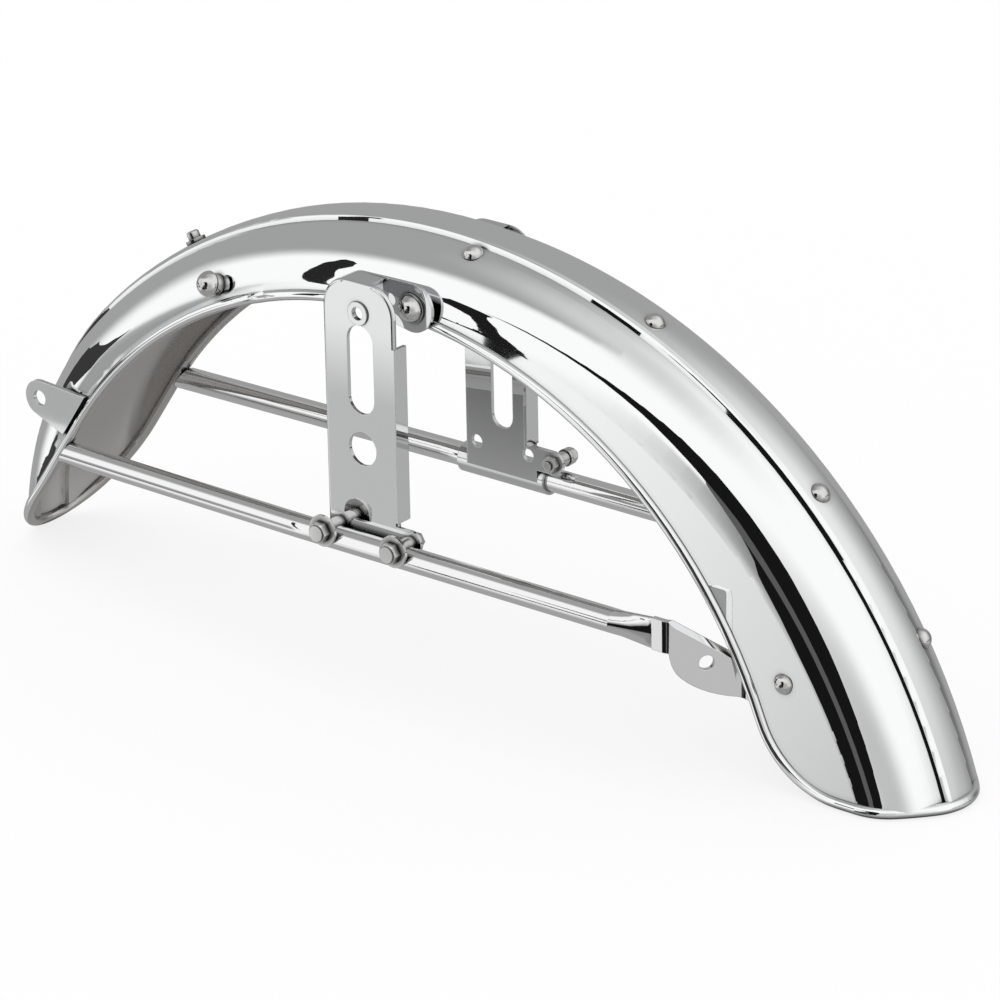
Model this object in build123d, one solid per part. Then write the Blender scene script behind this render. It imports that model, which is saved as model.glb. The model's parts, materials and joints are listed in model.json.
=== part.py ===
from build123d import *
import math
import os

# Front mudguard of a light motorcycle with an 18 inch wheel, all in millimetres.
# It is drawn about the wheel axle: +X forward, +Y to the rider's left, +Z up.
# The finished set is then moved so that it stands on its two lips on the plane Z = 0.

# Blade: a C section carried round the wheel, with a raised rib along the crown
CREST_R = 335.0            # wheel axle to the top of the rib
BLADE_WIDTH = 78.0         # over the outside of the flanks
SHEET = 1.2
CROWN_R = 60.0             # the crown's curve across the blade
SHOULDER_R = 31.0          # between crown and flank
RIB_HEIGHT = 3.0
RIB_TOP_WIDTH = 17.0
RIB_EDGE_R = 3.5           # rounds the top of the rib into its walls
RIB_WALL_LEAN = 65.0       # degrees from upright of the direction that a wall faces
TAIL_START = 45.0          # degrees behind the top where the tail's tighter curve begins
TAIL_R = 194.0             # crest radius of the tail
FRONT_SWEEP = 82.0         # degrees ahead of the top that the section is carried, past the front lip
TAIL_SWEEP = 94.0          # and behind it, past the rear lip
FLANK_SPARE = 12.0         # flank that is formed below the edge and trimmed off

# Trimmed edge, seen from the side, and the bead rolled along it
EDGE_DEPTH = 76.9          # crest to the long edge, which is one arc through the middle of the bead
EDGE_BACK = 16.2           # centre of that arc behind the axle
EDGE_UP = 38.1             # and above it
LIP_Z = 100.0              # both lips are cut level at this height above the axle
FRONT_CORNER_R = 50.0
TAIL_EDGE_LEAN = 34.0      # degrees from upright of the straight edge on the tail
TAIL_ROUND_UP = 16.0       # the tongue of the tail is rounded through a point this far above the lip
TAIL_ROUND_DROP = 14.0     # and this far below the crest
BEAD_D = 6.0

# Stays: a tube each side, flattened at the front and butted to the bead at the rear
TUBE_D = 12.7
TUBE_WALL = 1.5
STAY_DEPTH = 160.0         # crest to the middle of the tube at the brackets
RIGHT_STAY_DROP = 12.0     # the rear end lies this much lower
LEFT_STAY_RISE = 11.0      # on the left it lies this much higher
STAY_BEND_X = -52.0        # where the tube turns in towards the tail
STAY_BEND_R = 90.0
FLATTEN_BEFORE = 49.8      # the tube starts to flatten this far behind the blade's edge
FLATTEN_LENGTH = 24.0
STRAP_THICK = 3.2          # two walls pressed together
STRAP_HEIGHT = 17.0
STRAP_TURN_BEFORE = 15.8   # the strap turns in behind the blade this far behind the edge
STRAP_INSET_AFTER = 6.2    # and runs along the flank from this far ahead of it
STRAP_BEND_R = 7.0
STRAP_END_R = 11.0
STRAP_HOLE_D = 8.0
STRAP_BELLY = 7.0          # how far the strap's lower edge bows out
STRAP_DEPTH = 20.0         # strap where it passes under the bead
STRAP_UNDER = 6.4          # top of the strap below the middle of the bead

# Fork brackets: a plate that stands off the flank; the left foot is rolled round the stay
PLATE = 2.0
PLATE_Y = 57.0             # outer face of the plate from the middle of the blade
PLATE_REAR_X = -38.5
PLATE_FRONT_X = 8.5
PLATE_TOP_DEPTH = 20.5     # crest to the top of the plate
PLATE_CORNER_R = 16.0
PLATE_FLANGE = 9.5         # depth of the flange down the front edge
FLANGE_DROP = 31.5         # top of the flange below the top of the plate
FOLD_R = 1.8               # outside radius of the fold along the top
FOOT_LAP = 5.0             # right plate reaches this far below the middle of the stay, behind it
EYE_REAR_X = -45.5         # rolled eye of the left plate
EYE_FRONT_X = 12.0
EAR_R = 6.5
EYELET_X = -14.5
EYELET_DROP = 16.5         # below the top of the plate, as are the slots and the fork hole
EYELET_HOLE_D = 7.0
EYELET_D = 12.5
EYELET_PROUD = 1.0
SLOT_X = -14.0
RIGHT_SLOT_WIDTH = 17.0
RIGHT_SLOT_DROP = 23.0
RIGHT_SLOT_LENGTH = 48.0
FORK_HOLE_D = 18.0
FORK_HOLE_DROP = 90.0
LEFT_SLOT_WIDTH = 14.0
LEFT_SLOT_DROP = 52.5
LEFT_SLOT_LENGTH = 61.5
SPARE_HOLE_D = 7.0
SPARE_HOLE_RISE = 14.2     # above the middle of the stay
SPARE_HOLES_X = (-31.5, 3.0)

# Lug: the top of the bracket folded in to the flank, with one domed bolt
LUG_X = 9.5
LUG_DEPTH = 32.9           # crest to the bolt
LUG_R = 13.0
LUG_PIP_D = 8.0            # raised pip that seats on the flank above the bead
LUG_BOLT_D = 5.0
LUG_DOME_D = 14.0
LUG_DOME_HEIGHT = 5.6
LUG_WASHER_D = 16.0
LUG_WASHER = 1.2
LUG_NUT_AF = 8.0
LUG_NUT = 4.0

# Clamp bolts; on the right they cross notches in the tube, which their wide washers hold to the plate
RIGHT_CLAMPS_X = (-30.5, 16.4)
RIGHT_CLAMP_RISE = 5.3     # above the middle of the stay
LEFT_CLAMP_X = 19.5
CLAMP_BOLT_D = 5.0
CLAMP_HEAD = 4.5
CLAMP_CAP_SHARE = 0.86     # round end of the head, as a share of its flats
CLAMP_CAP = 0.8
CLAMP_WASHER = 1.6
CLAMP_COLLAR_D = 8.0
CLAMP_NUT = 4.0
RIGHT_HEAD_AF = 10.0
RIGHT_WASHER_D = 17.0
LEFT_HEAD_AF = 8.0
LEFT_WASHER_D = 9.5
LEFT_COLLAR = 8.0
BOLT_END = 1.0             # bolt showing past its nut

# Crown rivets: degrees forward of the top, and side of the rib (right is -1, left is 1)
CROWN_RIVETS = ((5.0, -1), (22.9, 0), (43.8, 0), (58.7, 1))
RIVET_D = 4.0
RIVET_DOME_D = 11.0
RIVET_DOME_HEIGHT = 4.0
RIVET_TAIL_D = 7.0
RIVET_TAIL = 1.8
BURR_D = 9.0
BURR = 1.0

# Stepped screw on the crown behind the top
BUTTON_ANGLE = -31.5
BUTTON_FLANGE_D = 11.0
BUTTON_FLANGE = 1.8
BUTTON_D = 6.8
BUTTON_HEIGHT = 4.4
BUTTON_CHAMFER = 0.8
BUTTON_NUT_AF = 8.0
BUTTON_NUT = 4.0
SCREW_WASHER_D = 11.0

# Domed bolt standing off the right flank behind the bracket
FLANK_BOLT_ANGLE = -24.4
FLANK_BOLT_LEAN = 70.0     # degrees round the shoulder from the crown's own direction
FLANK_DOME_D = 14.0
FLANK_DOME_HEIGHT = 6.0
FLANK_NECK_D = 8.0
FLANK_NECK = 1.6
FLANK_COLLAR_D = 12.0
FLANK_COLLAR = 4.0

# Rivets that hold the straps of the stays inside the flanks
STRAP_RIVET_DEPTH = 51.0   # below the crest
STRAP_RIVET_ANGLE = 56.93  # degrees forward of the top
STRAP_SPACER_D = 12.0

# Tab on the right side of the tail
TAB = 2.5
TAB_HOLE_BACK = 25.4       # behind the end of the long edge
TAB_HOLE_RISE = 9.0        # and above it
TAB_HOLE_D = 8.7
TAB_END_R = 10.0
TAB_ROOT_RISE = 15.0       # the root runs along the edge from here
TAB_ROOT_FALL = 10.0       # down to here, both from the end of the long edge

# Hexagon heads and nuts
HEX_TURNED = 1.16          # turned corner circle, as a share of the flats
HEX_CHAMFER = 0.08

# Fits
HOLE_CLEARANCE = 0.2       # bolt or rivet in its hole, on the radius
SEAT_GAP = 0.2             # between curved pieces that lie against each other
TUBE_GAP = 0.1             # stay in the rolled eye, on the radius

# Values worked out from the sizes above
HALF = BLADE_WIDTH / 2
MID = HALF - SHEET / 2
CROWN_TOP = CREST_R - RIB_HEIGHT
CROWN_CENTRE = CROWN_TOP - CROWN_R
SHOULDER_Y = HALF - SHOULDER_R
SHOULDER_CENTRE = CROWN_CENTRE + math.sqrt((CROWN_R - SHOULDER_R) ** 2 - SHOULDER_Y ** 2)
SHOULDER_LEAN = math.degrees(math.asin(SHOULDER_Y / (CROWN_R - SHOULDER_R)))
EDGE_R = CREST_R - EDGE_DEPTH
FLANK_LOW = EDGE_R - FLANK_SPARE
EYE_R = TUBE_D / 2 + TUBE_GAP + PLATE
STAY_Y = PLATE_Y + TUBE_D / 2 + TUBE_GAP
STAY_Z = CREST_R - STAY_DEPTH
BEAD_OUT = MID + BEAD_D / 2
LUG_Y = BEAD_OUT + SEAT_GAP
LUG_Z = CREST_R - LUG_DEPTH
PLATE_TOP_Z = CREST_R - PLATE_TOP_DEPTH
FLANGE_TOP_Z = PLATE_TOP_Z - FLANGE_DROP
EYELET_Z = PLATE_TOP_Z - EYELET_DROP
FORK_HOLE_Z = PLATE_TOP_Z - FORK_HOLE_DROP
RIGHT_SLOT_HIGH = PLATE_TOP_Z - RIGHT_SLOT_DROP
RIGHT_SLOT_LOW = RIGHT_SLOT_HIGH - RIGHT_SLOT_LENGTH
LEFT_SLOT_HIGH = PLATE_TOP_Z - LEFT_SLOT_DROP
LEFT_SLOT_LOW = LEFT_SLOT_HIGH - LEFT_SLOT_LENGTH
SPARE_HOLE_Z = STAY_Z + SPARE_HOLE_RISE
CLAMP_RISE = CLAMP_COLLAR_D / 2 + SEAT_GAP
RIGHT_CLAMP_Z = STAY_Z + RIGHT_CLAMP_RISE
LEFT_CLAMP_Z = STAY_Z + EYE_R + max(LEFT_WASHER_D / 2 + SEAT_GAP, CLAMP_RISE)
RIGHT_COLLAR = STAY_Y + TUBE_D / 2 + SEAT_GAP - PLATE_Y
STRAP_Y = MID - BEAD_D / 2 - SEAT_GAP - STRAP_THICK / 2
EDGE = Vector(-EDGE_BACK, EDGE_UP)
EDGE_AT_STAY_X = EDGE.X + math.sqrt(EDGE_R ** 2 - (STAY_Z - EDGE.Y) ** 2)
FLATTEN_X = EDGE_AT_STAY_X - FLATTEN_BEFORE
STRAP_TURN_X = EDGE_AT_STAY_X - STRAP_TURN_BEFORE
STRAP_INSET_X = EDGE_AT_STAY_X + STRAP_INSET_AFTER
TAIL = Vector(-math.sin(math.radians(TAIL_START)), math.cos(math.radians(TAIL_START))) * (CREST_R - TAIL_R)
RIGHT = -1
LEFT = 1


def polar(centre, radius, degrees):
    """Point in the side view at an angle forward of straight up."""
    a = math.radians(degrees)
    return Vector(centre.X + radius * math.sin(a), centre.Y + radius * math.cos(a))


def side(point, y):
    """Point of the side view set at a distance across the blade."""
    return Vector(point.X, y, point.Y)


def skin_points(inset):
    """Half of the section from the crest down to the flank, inset from the outer skin."""
    middle = Vector(0, CROWN_CENTRE)
    rib_r = CROWN_R + RIB_HEIGHT
    crown_r = CROWN_R - inset
    top_lean = math.degrees(math.asin(RIB_TOP_WIDTH / 2 / rib_r))
    round_centre = polar(middle, rib_r - RIB_EDGE_R, top_lean)
    shoulder_centre = Vector(SHOULDER_Y, SHOULDER_CENTRE)

    def on_round(lean):
        return polar(round_centre, RIB_EDGE_R - inset, lean)

    def on_shoulder(lean):
        return polar(shoulder_centre, SHOULDER_R - inset, lean)

    # The wall runs straight from the rounded edge down to the crown
    edge = (on_round(top_lean), on_round((top_lean + RIB_WALL_LEAN) / 2), on_round(RIB_WALL_LEAN))
    down = polar(Vector(0, 0), 1, RIB_WALL_LEAN + 90)
    start = edge[2] - middle
    along = start.dot(down)
    foot = edge[2] - down * (along + math.sqrt(along ** 2 - start.dot(start) + crown_r ** 2))
    foot_lean = math.degrees(math.asin(foot.X / crown_r))
    join = on_shoulder(SHOULDER_LEAN)
    crown = (foot, polar(middle, crown_r, (foot_lean + SHOULDER_LEAN) / 2), join)
    shoulder = (join, on_shoulder((SHOULDER_LEAN + 90) / 2), on_shoulder(90))
    return polar(middle, rib_r - inset, 0), edge, crown, shoulder


def section_region(inset, low):
    """Closed area under one skin of the C section, as (across, radius from the axle)."""
    crest, edge, crown, shoulder = skin_points(inset)
    foot = (shoulder[2].X, low)
    half = [
        ThreePointArc(*edge),
        Line(edge[2], crown[0]),
        ThreePointArc(*crown),
        ThreePointArc(*shoulder),
        Line(shoulder[2], foot),
    ]
    across = [ThreePointArc((-edge[0].X, edge[0].Y), crest, edge[0]), Line(foot, (-foot[0], low))]
    whole = half + [mirror(edge, about=Plane.YZ) for edge in half] + across
    return make_face(whole)


def biarc(start, leave, end, arrive):
    """Two arcs that join two points with the given directions."""
    span = end - start
    total = leave + arrive
    spread = 2 * (1 - leave.dot(arrive))
    along = span.dot(total)
    reach = (math.sqrt(along ** 2 + spread * span.dot(span)) - along) / spread
    first = start + leave * reach
    last = end - arrive * reach
    middle = (first + last) * 0.5
    onward = (last - first).normalized()
    return [TangentArc(start, middle, tangent=leave), TangentArc(middle, end, tangent=onward)]


# Rivet of the strap and corners of the edge in the side view
strap_rivet = polar(Vector(0, 0), CREST_R - STRAP_RIVET_DEPTH, STRAP_RIVET_ANGLE)
STRAP_RIVET_X = strap_rivet.X
STRAP_RIVET_Z = strap_rivet.Y
corner_x = EDGE.X + math.sqrt((EDGE_R + FRONT_CORNER_R) ** 2 - (LIP_Z + FRONT_CORNER_R - EDGE.Y) ** 2)
CORNER = Vector(corner_x, LIP_Z + FRONT_CORNER_R)
corner_angle = math.degrees(math.atan2(CORNER.X - EDGE.X, CORNER.Y - EDGE.Y))
FRONT_LIP_END = Vector(CORNER.X, LIP_Z)
FRONT_EDGE_END = polar(EDGE, EDGE_R, corner_angle)
tail_turn = 90 - TAIL_EDGE_LEAN
TAIL_EDGE_END = polar(EDGE, EDGE_R, -tail_turn)
TAIL_RUN = Vector(-math.sin(math.radians(TAIL_EDGE_LEAN)), -math.cos(math.radians(TAIL_EDGE_LEAN)))
TAB_HOLE_X = TAIL_EDGE_END.X - TAB_HOLE_BACK
TAB_HOLE_Z = TAIL_EDGE_END.Y + TAB_HOLE_RISE


def tail_edge(hand):
    """Middle line of the bead on the tail: straight on the flank, then over the shoulder to the lip."""
    offset_in = TAIL_EDGE_END - TAIL
    along = offset_in.dot(TAIL_RUN)
    flank_r = SHOULDER_CENTRE - CREST_R + TAIL_R
    flank_run = math.sqrt(along ** 2 - offset_in.dot(offset_in) + flank_r ** 2) - along
    leave = side(TAIL_EDGE_END + TAIL_RUN * flank_run, hand * MID)
    crest_r = TAIL_R - SHEET / 2
    crest = Vector(TAIL.X - math.sqrt(crest_r ** 2 - (LIP_Z - TAIL.Y) ** 2), 0, LIP_Z)

    # Point on the middle of the sheet that the rounded tongue passes through
    skin_r = SHOULDER_R - SHEET / 2
    lean = math.acos((CREST_R - TAIL_ROUND_DROP - SHOULDER_CENTRE) / skin_r)
    rise = LIP_Z + TAIL_ROUND_UP - TAIL.Y
    back = math.sqrt((TAIL_R - TAIL_ROUND_DROP) ** 2 - rise ** 2)
    through = Vector(TAIL.X - back, hand * (SHOULDER_Y + skin_r * math.sin(lean)), TAIL.Y + rise)
    radial = Vector(-back, 0, rise).normalized()
    square = radial * math.cos(lean) + Vector(0, hand, 0) * math.sin(lean)
    heading = crest - leave
    heading = (heading - square * heading.dot(square)).normalized()
    arcs = biarc(leave, side(TAIL_RUN, 0), through, heading)
    arcs += biarc(through, heading, crest, Vector(0, -hand, 0))
    return [Line(side(TAIL_EDGE_END, hand * MID), leave)] + arcs


def edge_trim():
    """Everything outside the long edge and above the two lips, as a slab across the blade."""
    far = CREST_R + 2 * BEAD_D
    samples = [edge @ (i / 8) for edge in tail_edge(RIGHT) for i in range(1, 9)]
    tongue = [(point.X, point.Z) for point in samples]
    corner_mid = polar(CORNER, FRONT_CORNER_R, (corner_angle + 360) / 2)
    outline = [
        Line((far, LIP_Z), FRONT_LIP_END),
        ThreePointArc(FRONT_LIP_END, corner_mid, FRONT_EDGE_END),
        ThreePointArc(FRONT_EDGE_END, polar(EDGE, EDGE_R, (corner_angle - tail_turn) / 2), TAIL_EDGE_END),
        Polyline(TAIL_EDGE_END, *tongue, (-far, LIP_Z), (-far, far), (far, far), (far, LIP_Z)),
    ]
    return extrude(Plane.XZ * make_face(outline), BLADE_WIDTH, both=True)


def bead_half(hand):
    """Middle line of the bead on one side, from the front of the crown round to the tail."""
    across = Vector(0, hand, 0)
    back = Vector(-1, 0, 0)

    def lip_point(skin):
        return Vector(math.sqrt(skin.Y ** 2 - LIP_Z ** 2), hand * skin.X, LIP_Z)

    crest, edge, crown, shoulder = skin_points(SHEET / 2)
    start = lip_point(crest)
    join = lip_point(crown[2])
    flank = lip_point(shoulder[2])
    crown_arc = TangentArc(start, join, tangent=across)
    front = [crown_arc] + biarc(join, crown_arc % 1, flank, back)
    lip_end = side(FRONT_LIP_END, hand * MID)
    edge_end = side(FRONT_EDGE_END, hand * MID)
    tail_end = side(TAIL_EDGE_END, hand * MID)
    corner = TangentArc(lip_end, edge_end, tangent=back)
    long_edge = TangentArc(edge_end, tail_end, tangent=corner % 1)

    return front + [Line(flank, lip_end), corner, long_edge] + tail_edge(hand)


def edge_bead():
    """The rolled bead that follows the whole edge of the blade."""
    loop = Wire(bead_half(RIGHT) + bead_half(LEFT))
    start = bead_half(RIGHT)[0]
    return sweep(Plane(start @ 0, z_dir=start % 0) * Circle(BEAD_D / 2), path=loop)


def blade_seat(angle, lean=0.0, hand=RIGHT):
    """Place on the outer skin; local Z points out of the sheet, square to it."""
    a = math.radians(lean)
    if lean == 0:
        y, r = 0.0, CREST_R
    elif lean < SHOULDER_LEAN:
        y = CROWN_R * math.sin(a)
        r = CROWN_CENTRE + CROWN_R * math.cos(a)
    else:
        y = SHOULDER_Y + SHOULDER_R * math.sin(a)
        r = SHOULDER_CENTRE + SHOULDER_R * math.cos(a)
    up = polar(Vector(0, 0), 1, angle)
    point = Vector(up.X * r, hand * y, up.Y * r)
    out = Vector(up.X * math.cos(a), hand * math.sin(a), up.Y * math.cos(a))
    return Plane(point, x_dir=Vector(up.Y, 0, -up.X), z_dir=out)


def flank_seat(x, y, z, hand):
    """Place on a face that is square to Y; local Z points outboard."""
    return Plane((x, hand * y, z), x_dir=(1, 0, 0), z_dir=(0, hand, 0))


def rod(diameter, low, high):
    """Round bar along local Z."""
    return Pos(0, 0, low) * extrude(Circle(diameter / 2), high - low)


def ring(outer, inner, low, high):
    """Washer or collar along local Z."""
    return Pos(0, 0, low) * extrude(Circle(outer / 2) - Circle(inner / 2), high - low)


def hexagon(across_flats, low, high):
    """Hexagon prism along local Z with its corners turned off at the top."""
    body = Pos(0, 0, low) * extrude(RegularPolygon(across_flats / 2, 6, major_radius=False), high - low)
    turned = rod(across_flats * HEX_TURNED, low, high)
    turned = chamfer(turned.edges().group_by(Axis.Z)[-1], across_flats * HEX_CHAMFER)
    return body & turned


def hex_nut(across_flats, bolt, low, high):
    """Hexagon nut on a bolt that runs along local Z."""
    return hexagon(across_flats, low, high) - rod(bolt + 2 * HOLE_CLEARANCE, low, high)


def dome(diameter, height, low):
    """Rounded head, a cap of a sphere on its flat seat."""
    radius = (diameter ** 2 / 4 + height ** 2) / (2 * height)
    ball = Pos(0, 0, low + height - radius) * Sphere(radius)
    return ball & rod(2 * radius, low, low + height)


def rivet(grip):
    """Dome rivet through a stack of sheets as thick as the grip, with its formed tail."""
    head = dome(RIVET_DOME_D, RIVET_DOME_HEIGHT, 0)
    return head + rod(RIVET_D, -grip, 0) + rod(RIVET_TAIL_D, -grip - RIVET_TAIL, -grip)


def lean_for(across):
    """Slope of the outer skin, in degrees, this far from the middle."""
    on_crown = math.degrees(math.asin(across / CROWN_R))
    if on_crown < SHOULDER_LEAN:
        return on_crown
    return math.degrees(math.asin((across - SHOULDER_Y) / SHOULDER_R))


RIB_FOOT_Y = skin_points(0)[2][0].X
CROWN_RIVET_LEAN = lean_for(RIB_FOOT_Y + RIVET_DOME_D / 2 + SEAT_GAP)
CROWN_SEATS = [blade_seat(a, CROWN_RIVET_LEAN * abs(hand), hand) for a, hand in CROWN_RIVETS]
BUTTON_SEAT = blade_seat(BUTTON_ANGLE)
FLANK_SEAT = blade_seat(FLANK_BOLT_ANGLE, FLANK_BOLT_LEAN, RIGHT)


def hollow(diameter, skin_r):
    """How far a flat washer stands off the hollow side of a curved skin."""
    return skin_r - math.sqrt(skin_r ** 2 - diameter ** 2 / 4) + SEAT_GAP


def hole(diameter, reach):
    """Drill for a bolt or rivet, on both sides of its seat."""
    return rod(diameter + 2 * HOLE_CLEARANCE, -reach, reach)


def mudguard_blade():
    section = section_region(0, FLANK_LOW) - section_region(SHEET, FLANK_LOW - SHEET)
    upright = Plane.YZ * section
    start = Rot(0, -TAIL_START, 0) * upright
    body = revolve(start, axis=Axis.Y, revolution_arc=TAIL_START + FRONT_SWEEP)
    tail_axis = Axis((TAIL.X, 0, TAIL.Y), (0, -1, 0))
    body += revolve(start, axis=tail_axis, revolution_arc=TAIL_SWEEP - TAIL_START)
    deep = 3 * SHEET
    drills = [seat * hole(RIVET_D, deep) for seat in CROWN_SEATS]
    drills += [seat * hole(LUG_BOLT_D, deep) for seat in (BUTTON_SEAT, FLANK_SEAT)]
    for hand in (RIGHT, LEFT):
        drills.append(flank_seat(LUG_X, HALF, LUG_Z, hand) * hole(LUG_BOLT_D, deep))
        drills.append(flank_seat(STRAP_RIVET_X, HALF, STRAP_RIVET_Z, hand) * hole(RIVET_D, deep))
    return (body & edge_trim()) + edge_bead() - drills


def side_slab(outline, y_from, y_to):
    """Outline of the side view made solid between two distances out on the right side."""
    return Pos(0, -y_from, 0) * extrude(Plane.XZ * outline, y_to - y_from)


def plate_outline(low):
    """Plate with two rounded upper corners."""
    width = PLATE_FRONT_X - PLATE_REAR_X
    tall = PLATE_TOP_Z - low
    plate = Pos((PLATE_REAR_X + PLATE_FRONT_X) / 2, low + tall / 2) * Rectangle(width, tall)
    return fillet(plate.vertices().group_by(Axis.Y)[-1], PLATE_CORNER_R)


def slot_cut(width, low, high):
    """Upright slot with round ends."""
    return Pos(SLOT_X, (low + high) / 2) * SlotOverall(high - low, width, rotation=90)


def upper_window():
    """Part of the side view that holds the folded top of the plate and its rear corner."""
    flat_end = PLATE_FRONT_X - PLATE_CORNER_R
    width = flat_end - PLATE_REAR_X
    return Pos(PLATE_REAR_X + width / 2, PLATE_TOP_Z) * Rectangle(width, 2 * PLATE_CORNER_R)


def lug_outline():
    """Lug that lies along the flank, round about its bolt."""
    top = plate_outline(STAY_Z) & upper_window()
    return make_hull(top.edges() + (Pos(LUG_X, LUG_Z) * Circle(LUG_R)).edges())


def fork_bracket(foot_z, clamps, clamp_z, openings):
    """Right hand bracket down to its foot; clamps are its bolts along the stay, the last one in an ear."""
    inner = PLATE_Y - PLATE
    outline = plate_outline(foot_z)
    ear_x = clamps[-1]
    ear_reach = ear_x - PLATE_FRONT_X + PLATE
    outline += Pos(ear_x - ear_reach / 2, clamp_z) * Rectangle(ear_reach, 2 * EAR_R)
    outline += Pos(ear_x, clamp_z) * Circle(EAR_R)
    bracket = side_slab(outline, inner, PLATE_Y)

    # Wall along the top, folded in to the lug on the flank
    wall = plate_outline(STAY_Z) - offset(plate_outline(STAY_Z - 2 * PLATE), -PLATE)
    bracket += side_slab(wall & upper_window(), LUG_Y, PLATE_Y)
    face = bracket.faces().sort_by(Axis.Y)[0]
    low = PLATE_TOP_Z - PLATE_CORNER_R
    middles = [(edge, edge.center()) for edge in face.edges()]
    flat_end = PLATE_FRONT_X - PLATE_CORNER_R
    folds = [edge for edge, middle in middles if middle.Z > low and middle.X < flat_end]
    bracket = fillet(folds, FOLD_R)
    bracket += side_slab(lug_outline(), LUG_Y, LUG_Y + PLATE)
    bracket += side_slab(Pos(LUG_X, LUG_Z) * Circle(LUG_PIP_D / 2), HALF, LUG_Y)

    # Flange down the front edge, above the ear
    flange_low = clamp_z + EAR_R + PLATE
    flange_mid = (flange_low + FLANGE_TOP_Z) / 2
    flange = Pos(PLATE_FRONT_X - PLATE / 2, flange_mid) * Rectangle(PLATE, FLANGE_TOP_Z - flange_low)
    bracket += side_slab(flange, PLATE_Y - PLATE_FLANGE, PLATE_Y)

    # Eyelet with its rim, the bolt holes and the openings
    bracket += side_slab(Pos(EYELET_X, EYELET_Z) * Circle(EYELET_D / 2), inner, PLATE_Y + EYELET_PROUD)
    cuts = [Pos(EYELET_X, EYELET_Z) * Circle(EYELET_HOLE_D / 2)] + openings
    cuts += [Pos(x, clamp_z) * Circle(CLAMP_BOLT_D / 2 + HOLE_CLEARANCE) for x in clamps]
    for cut in cuts:
        bracket -= side_slab(cut, inner - PLATE, PLATE_Y + PLATE)
    bolt_hole = Pos(LUG_X, LUG_Z) * Circle(LUG_BOLT_D / 2 + HOLE_CLEARANCE)
    bracket -= side_slab(bolt_hole, HALF - PLATE, LUG_Y + 2 * PLATE)
    return bracket


def right_fork_bracket():
    openings = [
        slot_cut(RIGHT_SLOT_WIDTH, RIGHT_SLOT_LOW, RIGHT_SLOT_HIGH),
        Pos(SLOT_X, FORK_HOLE_Z) * Circle(FORK_HOLE_D / 2),
    ]
    return fork_bracket(STAY_Z - FOOT_LAP, RIGHT_CLAMPS_X, RIGHT_CLAMP_Z, openings)


def left_fork_bracket():
    openings = [slot_cut(LEFT_SLOT_WIDTH, LEFT_SLOT_LOW, LEFT_SLOT_HIGH)]
    openings += [Pos(x, SPARE_HOLE_Z) * Circle(SPARE_HOLE_D / 2) for x in SPARE_HOLES_X]
    bracket = fork_bracket(STAY_Z, (LEFT_CLAMP_X,), LEFT_CLAMP_Z, openings)

    # Foot rolled into an eye round the stay
    eye = Plane((EYE_REAR_X, -STAY_Y, STAY_Z), x_dir=(0, 1, 0), z_dir=(1, 0, 0))
    length = EYE_FRONT_X - EYE_REAR_X
    bracket += eye * rod(2 * EYE_R, 0, length)
    bracket -= eye * rod(TUBE_D + 2 * TUBE_GAP, -PLATE, length + PLATE)
    return mirror(bracket, about=Plane.XZ)


def strap_plan():
    """Strap of the stay seen from above: out along the tube, in behind the blade, then forward."""
    end_x = STRAP_RIVET_X + STRAP_END_R
    line = FilletPolyline(
        (FLATTEN_X + FLATTEN_LENGTH, -STAY_Y),
        (STRAP_TURN_X, -STAY_Y),
        (STRAP_INSET_X, -STRAP_Y),
        (end_x, -STRAP_Y),
        radius=STRAP_BEND_R,
    )
    return trace(line, STRAP_THICK)


def edge_height(x):
    """Height of the long edge of the blade above the axle."""
    return EDGE.Y + math.sqrt(EDGE_R ** 2 - (x - EDGE.X) ** 2)


def strap_outline():
    """Strap seen from the side: level at the tube, under the bead, then on to its rivet."""
    start = FLATTEN_X + FLATTEN_LENGTH
    high = STAY_Z + STRAP_HEIGHT / 2
    low = STAY_Z - STRAP_HEIGHT / 2
    under = edge_height(STRAP_INSET_X) - STRAP_UNDER
    belly_end = Vector(STRAP_INSET_X + STRAP_END_R / 2, under - STRAP_DEPTH)
    belly_start = Vector(STRAP_TURN_X, low)
    chord = belly_end - belly_start
    belly = (belly_start + belly_end) * 0.5 + Vector(chord.Y, -chord.X).normalized() * STRAP_BELLY
    outline = [
        ThreePointArc(belly_start, belly, belly_end),
        Polyline(
            belly_end,
            (STRAP_RIVET_X, STRAP_RIVET_Z - STRAP_END_R),
            (STRAP_RIVET_X, STRAP_RIVET_Z + STRAP_END_R),
            (STRAP_INSET_X, under),
            (STRAP_TURN_X, high),
            (start, high),
            (start, low),
            belly_start,
        ),
    ]
    return make_face(outline) + Pos(STRAP_RIVET_X, STRAP_RIVET_Z) * Circle(STRAP_END_R)


def rear_edge(z):
    """Point of the edge behind the top at a height, and the direction from it to the open side."""
    if z > TAIL_EDGE_END.Y:
        point = Vector(EDGE.X - math.sqrt(EDGE_R ** 2 - (z - EDGE.Y) ** 2), z)
        return point, (EDGE - point).normalized()
    point = TAIL_EDGE_END + TAIL_RUN * ((z - TAIL_EDGE_END.Y) / TAIL_RUN.Y)
    return point, Vector(-TAIL_RUN.Y, TAIL_RUN.X)


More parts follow.
